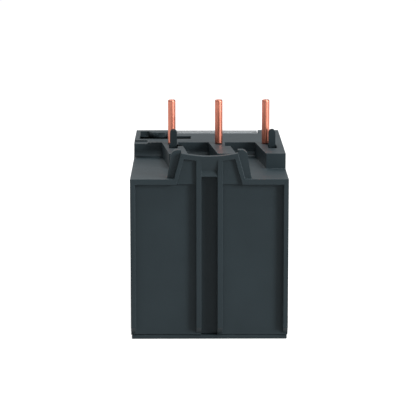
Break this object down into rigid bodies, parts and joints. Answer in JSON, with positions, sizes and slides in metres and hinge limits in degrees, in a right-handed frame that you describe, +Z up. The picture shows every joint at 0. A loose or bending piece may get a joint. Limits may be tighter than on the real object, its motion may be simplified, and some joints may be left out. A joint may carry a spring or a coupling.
{
  "type": "thermal overload relay",
  "caption": "Plug-in thermal overload relay with copper pins above, terminals below, a rear hook tab, setting dial under a hinged clear cover, reset and stop buttons.",
  "frame": {"origin": "middle of the footprint, on the plane of the bottom plate", "axes": "+Z up along the pins, -Y towards the front with the dial and terminals, +Y out of the ribbed rear face, +X to the right seen from the front"},
  "size_m": [0.045, 0.07, 0.0648],
  "materials": {
    "housing_plastic": "satin moulded",
    "clear_plastic": "clear moulded, faint smoke tint",
    "carrier_plastic": "satin moulded",
    "copper": "bright drawn copper",
    "bimetal_metal": "rolled",
    "sleeve_fibre": "woven glass fibre",
    "heater_strip": "heat tinted",
    "outlet_brass": "stamped",
    "zinc_steel": "zinc plated",
    "mechanism_plastic": "moulded, natural",
    "dial_plastic": "moulded white",
    "reset_blue": "moulded blue",
    "stop_red": "moulded red",
    "test_plastic": "moulded white"
  },
  "bodies": {
    "housing": {"auxiliary_screws": "zinc_steel", "auxiliary_washers": "zinc_steel", "bottom_plate": "housing_plastic", "break_contact_common": "outlet_brass", "break_contact_fixed": "outlet_brass", "front_housing": "housing_plastic", "heater_lead_left": "copper", "heater_lead_middle": "copper", "heater_lead_right": "copper", "make_contact_common": "outlet_brass", "make_contact_fixed": "outlet_brass", "mechanism_chassis": "mechanism_plastic", "outlet_bar_left": "outlet_brass", "outlet_bar_middle": "outlet_brass", "outlet_bar_right": "outlet_brass", "pin_carrier": "carrier_plastic", "pin_left": "copper", "pin_middle": "copper", "pin_right": "copper", "power_screws": "zinc_steel", "power_washers": "zinc_steel", "rear_housing": "housing_plastic", "reset_spring": "zinc_steel", "stop_spring": "zinc_steel", "trip_pivot": "zinc_steel"},
    "clear_cover": {"clear_cover": "clear_plastic"},
    "setting_dial": {"setting_dial": "dial_plastic"},
    "reset_stem": {"reset_stem": "reset_blue"},
    "reset_knob": {"reset_knob": "reset_blue"},
    "stop_button": {"stop_button": "stop_red"},
    "test_slide": {"test_slide": "test_plastic"},
    "push_slide": {"push_slide": "mechanism_plastic"},
    "return_slide": {"return_slide": "mechanism_plastic"},
    "differential_lever": {"differential_lever": "mechanism_plastic"},
    "trip_lever": {"trip_lever": "mechanism_plastic", "compensation_strip": "bimetal_metal"},
    "contact_slide": {"contact_slide": "mechanism_plastic"},
    "setting_slide": {"setting_slide": "mechanism_plastic"},
    "break_blade": {"break_contact_blade": "outlet_brass"},
    "make_blade": {"make_contact_blade": "outlet_brass"},
    "bimetal_left": {"bimetal_left": "bimetal_metal", "heater_sleeve_left": "sleeve_fibre", "heater_left": "heater_strip"},
    "bimetal_middle": {"bimetal_middle": "bimetal_metal", "heater_sleeve_middle": "sleeve_fibre", "heater_middle": "heater_strip"},
    "bimetal_right": {"bimetal_right": "bimetal_metal", "heater_sleeve_right": "sleeve_fibre", "heater_right": "heater_strip"}
  },
  "joints": [
    {"name": "cover_hinge", "type": "hinge", "parent": "housing", "child": "clear_cover", "pos_m": [0, -0.0284, 0.05], "axis": [-1, 0, 0], "range_deg": [0, 100]},
    {"name": "dial_turn", "type": "hinge", "parent": "housing", "child": "setting_dial", "pos_m": [0.0032, -0.0332, 0.04], "axis": [0, -1, 0], "range_deg": [-135, 135]},
    {"name": "setting_travel", "type": "slide", "parent": "housing", "child": "setting_slide", "axis": [1, 0, 0], "range_m": [-0.00061, 0.00061]},
    {"name": "reset_press", "type": "slide", "parent": "housing", "child": "reset_stem", "axis": [0, 1, 0], "range_m": [0, 0.0025], "stiffness_N_per_m": 400, "springref_m": -0.0005, "deforming": ["reset_spring"]},
    {"name": "reset_turn", "type": "hinge", "parent": "reset_stem", "child": "reset_knob", "pos_m": [-0.0105, -0.0349, 0.0422], "axis": [0, -1, 0], "range_deg": [0, 45]},
    {"name": "stop_press", "type": "slide", "parent": "housing", "child": "stop_button", "axis": [0, 1, 0], "range_m": [0, 0.002], "stiffness_N_per_m": 400, "springref_m": -0.0005, "deforming": ["stop_spring"]},
    {"name": "test_travel", "type": "slide", "parent": "housing", "child": "test_slide", "axis": [-1, 0, 0], "range_m": [0, 0.0015]},
    {"name": "heat_travel", "type": "slide", "parent": "housing", "child": "push_slide", "axis": [1, 0, 0], "range_m": [0, 0.0011], "stiffness_N_per_m": 150, "springref_m": -0.0003},
    {"name": "phase_lag", "type": "slide", "parent": "push_slide", "child": "return_slide", "axis": [-1, 0, 0], "range_m": [0, 0.001]},
    {"name": "differential_tilt", "type": "hinge", "parent": "push_slide", "child": "differential_lever", "pos_m": [0.0147, -0.0123, 0.03765], "axis": [0, 1, 0], "range_deg": [0, 19.75]},
    {"name": "bimetal_bend_left", "type": "hinge", "parent": "housing", "child": "bimetal_left", "pos_m": [-0.01417, 0.01, 0.008], "axis": [0, 1, 0], "range_deg": [0, 2.15]},
    {"name": "bimetal_bend_middle", "type": "hinge", "parent": "housing", "child": "bimetal_middle", "pos_m": [0, 0.01, 0.008], "axis": [0, 1, 0], "range_deg": [0, 2.15]},
    {"name": "bimetal_bend_right", "type": "hinge", "parent": "housing", "child": "bimetal_right", "pos_m": [0.01417, 0.01, 0.008], "axis": [0, 1, 0], "range_deg": [0, 2.15]},
    {"name": "trip_turn", "type": "hinge", "parent": "housing", "child": "trip_lever", "pos_m": [0.0177, -0.0174, 0.037], "axis": [0, 0, -1], "range_deg": [0, 11.11]},
    {"name": "contact_travel", "type": "slide", "parent": "housing", "child": "contact_slide", "axis": [-1, 0, 0], "range_m": [0, 0.000909]},
    {"name": "break_contact_bend", "type": "hinge", "parent": "housing", "child": "break_blade", "pos_m": [0.0055, -0.019, 0.0295], "axis": [0, -1, 0], "range_deg": [0, 5.93]},
    {"name": "make_contact_bend", "type": "hinge", "parent": "housing", "child": "make_blade", "pos_m": [-0.0055, -0.019, 0.0295], "axis": [0, -1, 0], "range_deg": [0, 5.93]}
  ],
  "couplings": [
    {"joint": "setting_travel", "follows": "dial_turn", "m_per_rad": 0.00025465},
    {"joint": "differential_tilt", "follows": "phase_lag", "rad_per_m": 343.02},
    {"joint": "bimetal_bend_left", "follows": "heat_travel", "rad_per_m": 33.711},
    {"joint": "bimetal_bend_middle", "follows": "heat_travel", "rad_per_m": 33.711},
    {"joint": "bimetal_bend_right", "follows": "heat_travel", "rad_per_m": 33.711},
    {"joint": "trip_turn", "follows": "heat_travel", "rad_per_m": 174.53},
    {"joint": "contact_travel", "follows": "heat_travel", "ratio": 0.81818},
    {"joint": "break_contact_bend", "follows": "heat_travel", "rad_per_m": 93.179},
    {"joint": "make_contact_bend", "follows": "heat_travel", "rad_per_m": 93.179}
  ]
}
